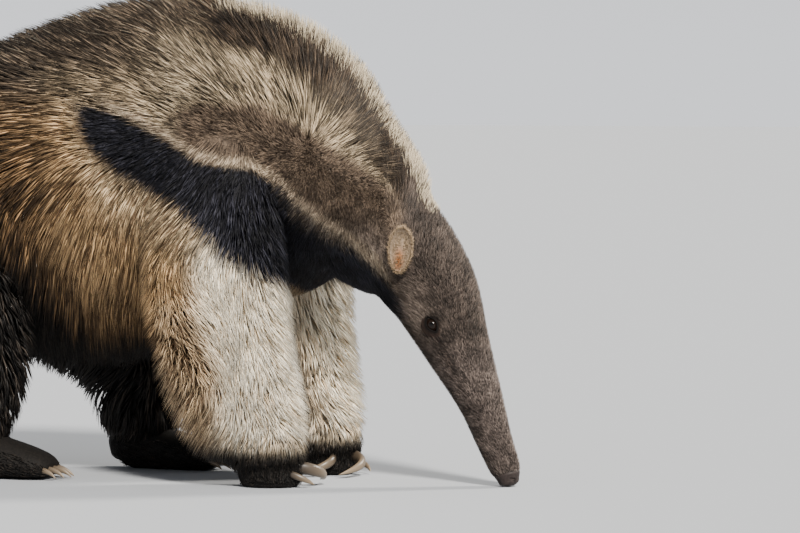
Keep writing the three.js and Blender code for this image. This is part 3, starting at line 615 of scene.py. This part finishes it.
ear_rims = {}
for name, side in SIDES.items():
    base = np.array([163, 63 * side, 267.0])
    tip = np.array([174, 75 * side, 327.0])
    long = unit(tip - base)
    face = np.array([0.36, side, 0.12])
    face = unit(face - long * np.dot(long, face))
    across = np.cross(long, face)
    centre = (base + tip) / 2
    r = np.concatenate([np.linspace(0.02, 1, EAR_STEPS), np.linspace(0.985, 0.02, EAR_STEPS)])[:, None]
    turn = np.linspace(0, 2 * np.pi, 60, endpoint=False)
    upward = np.sin(turn) * r
    back = np.arange(2 * EAR_STEPS)[:, None] < EAR_STEPS
    shell = -9.0 * np.sqrt(np.clip(1 - r**2, 0, 1))
    dish = ear_dish(r, upward, rim=1.2, depth=8.2)
    canal = np.exp(-((upward + 0.7) / 0.2) ** 2 - (np.cos(turn) * r / 0.3) ** 2)
    folds = np.exp(-((np.cos(turn) * r - 0.1) / 0.14) ** 2) * step_between(upward, -0.55, -0.1)
    folds = folds * (r < 0.85) * (1 - step_between(upward, 0.3, 0.6))
    lift = np.where(back, shell, dish - 1.6 * canal * (r < 0.9) + folds)
    aside = ear_width(upward) * np.cos(turn) * r
    ear = centre + aside[..., None] * across + (EAR_HALF_LENGTH * upward)[..., None] * long
    ear = ear + lift[..., None] * face
    ear_points, ear_faces = closed_tube(ear)
    inner = np.where(back, 0.0, 1.0) * (1 - step_between(r, 0.9, 1.0))
    warm = np.exp(-(((upward + 0.46) / 0.42) ** 2) - ((np.cos(turn) * r + 0.05) / 0.42) ** 2) * inner
    # painted shade in the canal's hollow, darkening the warm skin's own colour there
    inner, warm, canal_shade = (mask[..., None] for mask in (inner, warm, 0.5 * canal * inner))
    shades = over(linear((96, 84, 73)), (134, 117, 98), inner)
    shades = over(over(shades, (150, 92, 46), warm), (84, 46, 24), canal_shade).reshape(-1, 3)
    made = make_mesh(f"ear_{name}", ear_points, ear_faces, np.vstack([shades, shades[0], shades[-1]]))
    made.data.materials.append(ear_skin)
    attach(made, "root")
    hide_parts(f"ear_{name}")
    ear_rims[side] = (centre, across, long, face)


# CLAWS
# Curved horn, three on each forefoot folded back under the hand, and five short ones on each hind
# foot. Each is a cone swept along a bent line from its root in the foot to its point.
FORE_CLAWS = {
    # by digit: its root, bend and point, from the middle of the foot, and its radius
    2: ((24, -22, 24), (38, -54, 16), (-8, -58, 5), 6.5),
    3: ((38, 0, 26), (86, -20, 18), (48, -64, 5), 8),
    4: ((38, 16, 18), (60, 18, 12), (66, 2, 4), 4.5),
}
HIND_CLAW_SPREAD = (-26, -14, 0, 14, 25)
CLAW_RINGS, CLAW_SIDES = 22, 14
claw_list = []
for name, side in SIDES.items():
    for digit, (root, bend, point, radius) in FORE_CLAWS.items():
        place_at = [np.array([x, side * (98 + y), z], float) for x, y, z in (root, bend, point)]
        claw_list.append((f"claw_fore_{name}_{digit}", *place_at, radius))
    for i, spread in enumerate(HIND_CLAW_SPREAD):
        trio = ((48, 0.9 * spread, 13), (72, spread, 16), (84, 1.08 * spread, 3))
        place_at = [np.array([HIND_X[name] + x - 0.016 * spread**2, side * (97 + y), z])
                    for x, y, z in trio]
        claw_list.append((f"claw_hind_{name}_{i + 1}", *place_at, 4.2))
horn = material("horn", 0.38, 0.45)
for name, root, bend, point, radius in claw_list:
    u = np.linspace(0, 1, CLAW_RINGS)[:, None]
    line = root * (1 - u) ** 2 + bend * 2 * u * (1 - u) + point * u**2
    along = unit(np.gradient(line, axis=0))
    across = unit(np.cross(along, (0, 0, 1)))
    up = np.cross(across, along)
    turn = np.linspace(0, 2 * np.pi, CLAW_SIDES, endpoint=False)
    thick = radius * np.array(1 - u**2.2).clip(0.02) ** 0.8
    rings = line[:, None] + across[:, None] * (0.72 * thick * np.cos(turn))[..., None]
    rings = rings + up[:, None] * (thick * np.sin(turn))[..., None]
    rings[..., 2] = np.maximum(rings[..., 2], 1.0)
    claw_points, claw_faces = closed_tube(rings)
    pale = np.concatenate([np.repeat(u[:, 0], CLAW_SIDES), [0, 1]])[:, None]
    tint = over(linear((36, 31, 28)), (128, 112, 92), pale)
    claw = make_mesh(name, claw_points, claw_faces, tint)
    claw.data.materials.append(horn)
    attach(claw, "root")
    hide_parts(name)


# COAT
# Coarse, straight hair: short and speckled on head and neck, long over the back, and a shaggy
# curtain on legs, belly and tail. It is made of thin, tapered tufts rooted in the skin, whose tips
# lie on the coat's outer surface, further along the lie of the hair, and lean together in locks.
def flow_at(form, p, theta):
    """The lie of the hair at roots: a direction in the animal's frame, not yet on the surface."""
    x, y = side_view(p)
    n = len(p)
    none = np.zeros(n)
    if form == "body":
        low = step_between(np.abs(theta), 0.7, 2.6)
        flow = np.stack([-1 + 0.55 * low, none, -0.12 - 0.85 * low], 1)
        # below the stripe it sweeps back and down across the shoulder and the flank
        shoulder = step_between(y, 120, 220) * (1 - step_between(x, 230, 300))
        flow = flow + np.stack([0.15 * shoulder, none, -0.55 * shoulder], 1)
        # the chest's hair falls down and forward
        chest = step_between(x, 262, 310) * step_between(y, 200, 250)
        flow = flow * (1 - chest[:, None]) + np.array([0.35, 0, -0.95]) * chest[:, None]
        # it parts at a whorl high on the side of the neck, and runs forward and up ahead of it
        dx, dy = x - 308, y - 140
        reach = np.hypot(dx, dy)
        near = (np.exp(-((reach / 105) ** 2)) * (1 - chest))[:, None]
        parting = np.stack([dx, none, -dy], 1) / np.maximum(reach, 1)[:, None]
        flow = flow * (1 - near) + parting * near * 1.1
        # on the head the hair runs back from the snout, over the crown
        head = step_between(x, 380, 405)[:, None]
        flow = flow * (1 - head) + np.array([-0.5, 0, 0.87]) * head
    elif form == "tail":
        low = step_between(np.abs(theta), 0.8, 2.7)
        flow = np.stack([-1 + 0.25 * low, none, -0.12 - 0.75 * low], 1)
    elif form.startswith("foreleg"):
        # from the rear edge the hair curves forward over the leg, then hangs
        z = p[:, 2]
        rear = step_between(-p[:, 0], 5, 95) * step_between(z, 95, 190) * (1 - step_between(z, 240, 330))
        forward = 0.10 - 0.35 * step_between(z, 230, 330) + 1.25 * rear
        flow = np.stack([forward, none, -1 + 0.45 * rear], 1)
    elif form.startswith("hindleg"):
        flow = np.stack([np.full(n, -0.22), none, np.full(n, -1.0)], 1)
    else:
        flow = np.stack([np.full(n, 1.0), none, np.full(n, -0.3)], 1)
    return unit(flow)


def inside_of(form, p, margin):
    """True for points deeper inside a form's skin than the margin, at its nearest section."""
    rows = forms[form][0]
    t = np.linspace(0, len(rows) - 1, 60)
    centres = columns_at(rows, t)[:, :3]
    nearest = t[np.argmin(((p[:, None] - centres) ** 2).sum(-1), 1)]
    centre = columns_at(rows, nearest)[:, :3]
    offset = p - centre
    share = 0
    for one, other in ((0.0, np.pi), (np.pi / 2, -np.pi / 2)):
        one, other = (surface(form, nearest, turn, 0.0) - centre for turn in (one, other))
        reach = (offset * unit(one)).sum(-1)
        size = np.where(reach > 0, np.linalg.norm(one, axis=1), np.linalg.norm(other, axis=1))
        share = share + (reach / np.maximum(size - margin, 1)) ** 2
    return (nearest > 0) & (nearest < len(rows) - 1) & (share < 1)


# the places along and round a patch from which roots are drawn
CELLS_ALONG, CELLS_ROUND = 120, 60
# no tuft grows this near to the middle of the lids, or lower than this on the soles
LIDS_AT, LIDS_CLEAR = (199, 36, 201), 12.5
SOLE = 1.5
CREAM = (232, 216, 186)
# the size of a tuft's patch on the unwrap, and the share of the unwrap that the roots' places fill
BAKE_PATCH = 0.003
BAKE_SPAN = 0.99


def grow(patch, seed):
    """Arrays of one patch's tufts: points, faces, colours and bake places.

    Roots are drawn at random over the skin, closer together where the hair is short. Each tuft is a
    bent line from its root, through a point part way out in the coat, to its tip on the coat's outer
    surface, with rings of three points round it.

    A patch names its form, the count of roots, its ranges of t and theta on the form, and the tufts'
    width. It may name their rings, how much denser short hair grows (dense), the forms that cover it
    and by how much (hidden_by, margin), the hair's length along the body (lay), its scatter (wild),
    the ends of the form that tips may not pass (limit), how far out it bends (lift), the size of its
    locks and how much they close (lock, gather), how much painted shade darkens its roots (root),
    and its share of cream tips (cream_tips).
    """
    rng = np.random.default_rng(seed)
    form, count, rings = patch["form"], patch["count"], patch.get("rings", 2)
    t_edge = np.linspace(*patch["t"], CELLS_ALONG + 1)
    turn_edge = np.radians(np.linspace(*patch["theta"], CELLS_ROUND + 1))
    grid = surface(form, t_edge[:, None], turn_edge[None, :], 0.4)
    area = np.linalg.norm(np.cross(grid[1:, :-1] - grid[:-1, :-1], grid[:-1, 1:] - grid[:-1, :-1]), axis=-1)
    if form == "body":
        area = area * np.clip(34 / coat_at(grid[:-1, :-1])[..., 7], 0.8, patch.get("dense", 3)) ** 0.9
    cell = rng.choice(area.size, count, p=(area / area.sum()).ravel())
    t = t_edge[cell // CELLS_ROUND] + rng.random(count) * (t_edge[1] - t_edge[0])
    theta = turn_edge[cell % CELLS_ROUND] + rng.random(count) * (turn_edge[1] - turn_edge[0])
    root = surface(form, t, theta, 0.0)
    keep = (root[:, 2] > SOLE) & (np.linalg.norm(np.abs(root) - LIDS_AT, axis=1) > LIDS_CLEAR)
    for other in patch.get("hidden_by", ()):
        keep &= ~inside_of(other, root, patch.get("margin", 8))
    t, theta, root = t[keep], theta[keep], root[keep]
    n = len(t)
    facts = coat_at(root)
    lay = facts[:, 7] * rng.uniform(0.75, 1.2, n)
    deep = facts[:, 8]
    if "lay" in patch:
        lay = patch["lay"] * rng.uniform(0.75, 1.2, n)
        deep = np.ones(n)
    if form.startswith("foreleg"):
        # shorter on the shoulder
        lay = lay * (1 - 0.65 * step_between(root[:, 2], 320, 400))
    # the lie of the hair, waved a little, as steps along and round the form by least squares
    by_t = (surface(form, t + 0.02, theta, 0.5) - surface(form, t - 0.02, theta, 0.5)) / 0.04
    by_turn = (surface(form, t, theta + 0.02, 0.5) - surface(form, t, theta - 0.02, 0.5)) / 0.04
    flow = flow_at(form, root, theta)
    wave = 0.2 * np.sin(root @ (0.031, 0.043, 0.037) + 2 * np.sin(root @ (0.017, -0.029, 0.023)))
    flow = unit(flow + wave[:, None] * np.cross(unit(np.cross(by_t, by_turn)), flow))
    aa, bb, ab = (by_t**2).sum(1), (by_turn**2).sum(1), (by_t * by_turn).sum(1)
    fa, fb = (by_t * flow).sum(1), (by_turn * flow).sum(1)
    ground = np.maximum(aa * bb - ab * ab, 1e-6)
    wild = patch.get("wild", 0.13)
    sweep = np.clip(lay * (bb * fa - ab * fb) / ground, -1.6, 1.9)
    sweep = sweep + wild * rng.normal(0, 1, n) * lay / np.sqrt(aa)
    turn = np.clip(lay * (aa * fb - ab * fa) / ground, -1.2, 1.2)
    turn = turn + wild * rng.normal(0, 1, n) * np.minimum(lay / np.sqrt(bb), 1.2)
    low, high = patch.get("limit", (-0.2, 30))
    end_t = np.clip(t + sweep, low, high - 0.3 * rng.random(n) ** 2)
    end_turn = theta + turn
    depth = deep * (1 - 0.4 * rng.random(n) ** 2)
    lift = patch.get("lift", 0.7)
    bend = surface(form, t + 0.45 * (end_t - t), theta + 0.45 * (end_turn - theta), lift * depth)
    tip = surface(form, end_t, end_turn, depth)
    # tips lean towards the middle of their lock
    size = patch.get("lock", 14)
    bulge = np.sin(root[:, [1, 2, 0]] / size + root[:, [2, 0, 1]] / (2 * size))
    place = np.floor(root / size + 0.3 * bulge) @ (1, 1009, 1009**2)
    _, lock = np.unique(place.astype(np.int64), return_inverse=True)
    lock = lock.ravel()
    middle = np.stack([np.bincount(lock, tip[:, k]) for k in range(3)], 1) / np.bincount(lock)[:, None]
    lock_random = rng.random(len(middle))[lock]
    gather = patch.get("gather", 0.35) * rng.uniform(0.4, 1.2, n) * np.clip(lay / 30, 0, 1)
    tip = tip + gather[:, None] * (middle[lock] - tip)
    tip[:, 2] = np.maximum(tip[:, 2], 5)
    bend[:, 2] = np.maximum(bend[:, 2], 5)
    root = root - 1.2 * unit(bend - root)
    u = np.array({1: (0.0,), 2: (0.0, 0.52), 3: (0.0, 0.4, 0.75)}[rings])[None, :, None]
    line = root[:, None] * (1 - u) ** 2 + bend[:, None] * 2 * u * (1 - u) + tip[:, None] * u**2
    along = unit(2 * (1 - u) * (bend - root)[:, None] + 2 * u * (tip - bend)[:, None])
    outward = unit(np.cross(by_t, by_turn))[:, None]
    across = unit(np.cross(along, outward) + rng.normal(0, 0.35, (n, 1, 3)))
    across = unit(across - along * (across * along).sum(-1, keepdims=True))
    thick = np.cross(along, across)
    wide = patch["width"] * rng.uniform(0.7, 1.3, n) * np.clip(np.sqrt(lay / 34), 0.45, 1.15) / 2
    taper = np.array({1: (1.0,), 2: (0.85, 0.9), 3: (0.8, 1.0, 0.66)}[rings])
    half = (wide[:, None] * taper)[..., None, None]
    corners = np.radians([90, 210, 330])[:, None]
    ring = across[:, :, None] * np.cos(corners) + 0.6 * thick[:, :, None] * np.sin(corners)
    ring = line[:, :, None] + half * ring
    tuft = np.concatenate([ring.reshape(n, -1, 3), tip[:, None]], 1)
    tuft[..., 2] = np.maximum(tuft[..., 2], 3)
    # each tuft is a light or a dark one of its place, with the markings' borders drawn across it
    places = np.concatenate([line, tip[:, None]], 1)
    facts = coat_at(places, rng.normal(0, 1.6, (2, n, 1)))
    if form.startswith("hind"):
        dark, light, *rest = REGIONS["belly"]
        facts[:] = np.concatenate([linear(dark), linear(light), rest])
    share = np.clip(facts[:, -1, 6] + 0.35 * (lock_random - 0.5), 0.02, 0.98)
    pale = np.where(rng.random(n) < share, rng.uniform(0.6, 1.1, n), rng.uniform(0, 0.3, n))
    main = facts[..., :3] + (facts[..., 3:6] - facts[..., :3]) * pale[:, None, None]
    main = main * (rng.uniform(0.85, 1.12, n) * (0.8 + 0.4 * lock_random))[:, None, None]
    main = np.repeat(main, np.append(np.full(rings, 3), 1), axis=1)
    # painted shade deep in the coat: each tuft darkens from half way along towards its root
    grade = np.append(np.repeat(u[0, :, 0], 3), 1.0)[None, :, None]
    root_shade = patch.get("root", 0.5)
    shade = main * (root_shade + (1 - root_shade) * step_between(grade, 0.0, 0.5))
    if "cream_tips" in patch:
        cream = linear(CREAM) * rng.uniform(0.75, 1.1, (n, 1, 1))
        tipped = (rng.random((n, 1, 1)) < patch["cream_tips"]) * step_between(grade, 0.5, 0.85)
        shade = shade * (1 - tipped) + cream * tipped
    # on the unwrap each tuft is a small patch at its root's place
    first, last = patch["t"]
    place_along = ((t - first) / (last - first) * BAKE_SPAN)[:, None] + BAKE_PATCH * grade[..., 0]
    aside = np.append(np.tile([0.5, 0.0, 1.0], rings), 0.5)
    place_round = (np.degrees(theta) / 360 % 1 * BAKE_SPAN)[:, None] + BAKE_PATCH * aside
    bake = np.stack([place_along, place_round], -1)
    a = np.arange(3)
    b = (a + 1) % 3
    last_ring = 3 * rings - 3
    faces = [np.array([[0, 2, 1]]), np.stack([last_ring + a, last_ring + b, np.full(3, 3 * rings)], 1)]
    for k in range(0, last_ring, 3):
        faces += [np.stack([k + a, k + b, k + b + 3], 1), np.stack([k + a, k + b + 3, k + a + 3], 1)]
    faces = np.vstack(faces)[None] + (np.arange(n) * (3 * rings + 1))[:, None, None]
    return tuft.reshape(-1, 3), faces.reshape(-1, 3), shade.reshape(-1, 3), bake.reshape(-1, 2)


def coat(name, slot, seed, *patches):
    """One coat piece from its patches of tufts."""
    parts = [grow(patch, seed + 100 * i) for i, patch in enumerate(patches)]
    starts = np.cumsum([0] + [len(part[0]) for part in parts[:-1]])
    bake = [(part[3] + (0, i)) / (1, len(parts)) for i, part in enumerate(parts)]
    points, faces, shades, _ = zip(*parts)
    faces = [ours + start for ours, start in zip(faces, starts)]
    joined = (np.vstack(part) for part in (points, faces, shades, bake))
    made = make_mesh(f"coat_{name}", *joined)
    made.data.materials.append(hair)
    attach(made, "root")
    return made


def on_body(count, t, theta, width, **more):
    """A patch on the body: its roots, its ranges of t and of theta in degrees, its tufts' width."""
    return dict(form="body", count=count, t=t, theta=theta, width=width, **more)


hair = material("hair", 0.6, 0.25)
FORELEGS = ("foreleg_right", "foreleg_left")
LEGS = (*FORELEGS, "hindleg_right", "hindleg_left")
RIGHT = (-180, -16)
LEFT = (16, 180)
coat("head", "short_fur", 1,
     on_body(32000, (0.55, 7.6), (-180, 0), 1.8, rings=1, dense=6, root=0.7),
     on_body(15500, (0.55, 7.6), (0, 180), 2.5, rings=1, dense=6, root=0.7))
coat("neck_right", "short_fur", 2,
     on_body(34000, (7.4, 10.2), RIGHT, 1.9, rings=1, hidden_by=FORELEGS, root=0.7))
coat("neck_left", "short_fur", 3,
     on_body(20000, (7.4, 10.2), LEFT, 2.4, rings=1, hidden_by=FORELEGS, root=0.7))
coat("shoulder_right", "grizzled_coat", 4,
     on_body(16300, (9.9, 11.5), RIGHT, 1.35, hidden_by=LEGS))
coat("ribs_right", "grizzled_coat", 5,
     on_body(14700, (11.4, 13.2), RIGHT, 1.5, hidden_by=LEGS))
coat("flank_right", "grizzled_coat", 6,
     on_body(11500, (13.0, 18), RIGHT, 2.2, hidden_by=LEGS, limit=(0, 18.3)))
coat("shoulder_left", "grizzled_coat", 7,
     on_body(9500, (9.9, 13.0), LEFT, 2.5, hidden_by=LEGS))
coat("flank_left", "grizzled_coat", 8,
     on_body(8500, (12.8, 18), LEFT, 2.9, hidden_by=LEGS, limit=(0, 18.3)))
coat("crest", "grizzled_coat", 9,
     on_body(4000, (7.2, 11.4), (-19, 19), 2.8, lay=10, lift=0.6, wild=0.5, cream_tips=0.75),
     on_body(6500, (11.2, 18), (-36, 36), 2.4, lay=52, cream_tips=0.12, limit=(0, 18.3)))
coat("tail_upper", "tail_hair", 10,
     dict(form="tail", count=6500, t=(-0.3, 6.9), theta=(-115, 115), lay=100, width=2.8, lock=26,
          limit=(-0.5, 7.95)))
coat("tail_curtain", "tail_hair", 11,
     dict(form="tail", count=7000, t=(0.1, 6.9), theta=(108, 252), lay=100, width=3.1, rings=3, lift=0.6,
          lock=30, gather=0.5, limit=(0, 7.95), wild=0.16))
for i, name in enumerate(SIDES):
    coat(f"foreleg_{name}", "foreleg_hair", 12 + 4 * i,
         dict(form=f"foreleg_{name}", count=(17000, 9800)[i], t=(0.05, 6.1), theta=(-180, 180), lay=42,
              width=(1.5, 2.2)[i], lift=0.65, hidden_by=("body",), margin=14, limit=(0, 6.8), root=0.8,
              lock=18),
         dict(form=f"foreleg_{name}", count=2000, t=(6.0, 7.6), theta=(-180, 180), lay=9, width=2.4,
              rings=1))
    coat(f"hindleg_{name}", "dark_hair", 14 + 4 * i,
         dict(form=f"hindleg_{name}", count=4700, t=(0.05, 5.5), theta=(-180, 180), lay=46, width=3.0,
              hidden_by=("body",), margin=14, limit=(0, 5.9), lock=18),
         dict(form=f"hindfoot_{name}", count=2000, t=(0.2, 4.8), theta=(-120, 120), lay=8, width=2.5,
              rings=1))


# EAR FRINGES
# Pale, fine hair along each ear's rim and down its inside. The tufts are rooted on the rim and in the
# dish, and point outward from the cup and towards its tip.
FRINGE_TUFTS = 1500
for name, side in SIDES.items():
    centre, across, long, face = ear_rims[side]
    rng = np.random.default_rng(40 + side)
    n = FRINGE_TUFTS
    turn = rng.uniform(0, 2 * np.pi, n)
    r = np.where(rng.random(n) < 0.55, rng.uniform(0.92, 1.0, n), np.sqrt(rng.uniform(0.02, 0.85, n)))
    upward = np.sin(turn) * r
    aside = ear_width(upward) * np.cos(turn) * r
    rim = centre + aside[:, None] * across + (EAR_HALF_LENGTH * upward)[:, None] * long
    rim = rim + ear_dish(r, upward, rim=1.0, depth=7.5)[:, None] * face
    outward = unit(np.cos(turn)[:, None] * across + np.sin(turn)[:, None] * long)
    way = unit(0.5 * outward + 0.35 * face + 0.6 * long + rng.normal(0, 0.2, (n, 3)))
    size = (rng.uniform(2.5, 7.5, n) * np.where(r > 0.9, 1, 0.6))[:, None]
    tip = rim + way * size
    corners = np.radians([90, 210, 330])
    one = unit(np.cross(way, face))
    two = np.cross(way, one)
    ring = np.cos(corners)[:, None] * one[:, None] + np.sin(corners)[:, None] * two[:, None]
    ring = rim[:, None] + 0.42 * ring
    tuft = np.concatenate([ring, tip[:, None]], 1)
    faces = np.array([[0, 1, 3], [1, 2, 3], [2, 0, 3], [0, 2, 1]])[None] + 4 * np.arange(n)[:, None, None]
    tint = linear((174, 150, 120)) * rng.uniform(0.35, 1.1, (n, 1, 1))
    # painted shade: each tuft's root ring is darker than its tip
    tint = tint * np.array([0.7, 0.7, 0.7, 1.0])[None, :, None]
    bake = np.stack([0.01 + 0.97 * turn / (2 * np.pi), 0.01 + 0.97 * r], 1)[:, None]
    bake = bake + BAKE_PATCH * np.array([[0, 0], [1, 0], [0, 1], [1, 1]])
    rows = (array.reshape(-1, array.shape[-1]) for array in (tuft, faces, tint, bake))
    fringe = make_mesh(f"ear_fringe_{name}", *rows)
    fringe.data.materials.append(hair)
    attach(fringe, "root")


# STUDIO
# A plain pale floor under a pale sky, and two wide, sun-like lamps above and ahead of the animal, one
# on each side. A long lens at the photograph's angle, 20 degrees round from its right, looks at it
# from close to the ground.
FLOOR_REACH = 30e3
corners = FLOOR_REACH * np.array([[-1, -1, 0], [1, -1, 0], [1, 1, 0], [-1, 1, 0]])
floor = make_mesh("floor", corners, np.array([[0, 1, 2, 3]]))
floor.data.materials.append(material("floor", 1.0, 0.0, colour=(164, 168, 174)))

# the sky is brightest at the horizon, so that the floor runs into it without a line
world = bpy.data.worlds.new("studio")
bpy.context.scene.world = world
world.use_nodes = True
sky = world.node_tree
way = sky.nodes.new("ShaderNodeTexCoord")
parts = sky.nodes.new("ShaderNodeSeparateXYZ")
height = sky.nodes.new("ShaderNodeMapRange")
set_inputs(height, {"From Max": 0.3, "To Min": 1.15, "To Max": 0.55})
sky.links.new(way.outputs["Generated"], parts.inputs["Vector"])
sky.links.new(parts.outputs["Z"], height.inputs["Value"])
sky.links.new(height.outputs["Result"], sky.nodes["Background"].inputs["Strength"])
set_inputs(sky.nodes["Background"], {"Color": (0.94, 0.96, 1.0, 1)})

LAMPS = {
    # the way it shines from, its watts per square metre, its width in degrees and its colour
    "key": ((0.78, -1.0, 1.0), 7.9, 9, (1.0, 0.94, 0.85)),
    "rim": ((1.0, 0.9, 1.0), 4.4, 10, (1.0, 0.93, 0.82)),
}
for name, (way, power, width, colour) in LAMPS.items():
    lamp = bpy.data.lights.new(name, "SUN")
    lamp.energy = power
    lamp.angle = np.radians(width)
    lamp.color = colour
    lamp_object = bpy.data.objects.new(name, lamp)
    lamp_object.rotation_euler = (-Vector(way)).to_track_quat("-Z", "Y").to_euler()
    bpy.context.scene.collection.objects.link(lamp_object)

AZIMUTH = np.radians(20)
ELEVATION = np.radians(2.5)
DISTANCE = 6.0
LENS, SENSOR = 216, 36
VIEW_CENTRE = np.array([158.6, -42.3, 275.6])
camera_data = bpy.data.cameras.new("camera")
camera_data.lens = LENS
camera_data.sensor_width = SENSOR
camera = bpy.data.objects.new("camera", camera_data)
centre_of_view = Vector((VIEW_CENTRE + shift) / 1000)
back = Vector((np.sin(AZIMUTH) * np.cos(ELEVATION), -np.cos(AZIMUTH) * np.cos(ELEVATION), np.sin(ELEVATION)))
camera.location = centre_of_view + back * DISTANCE
camera.rotation_euler = (-back).to_track_quat("-Z", "Y").to_euler()
bpy.context.scene.collection.objects.link(camera)
bpy.context.scene.camera = camera
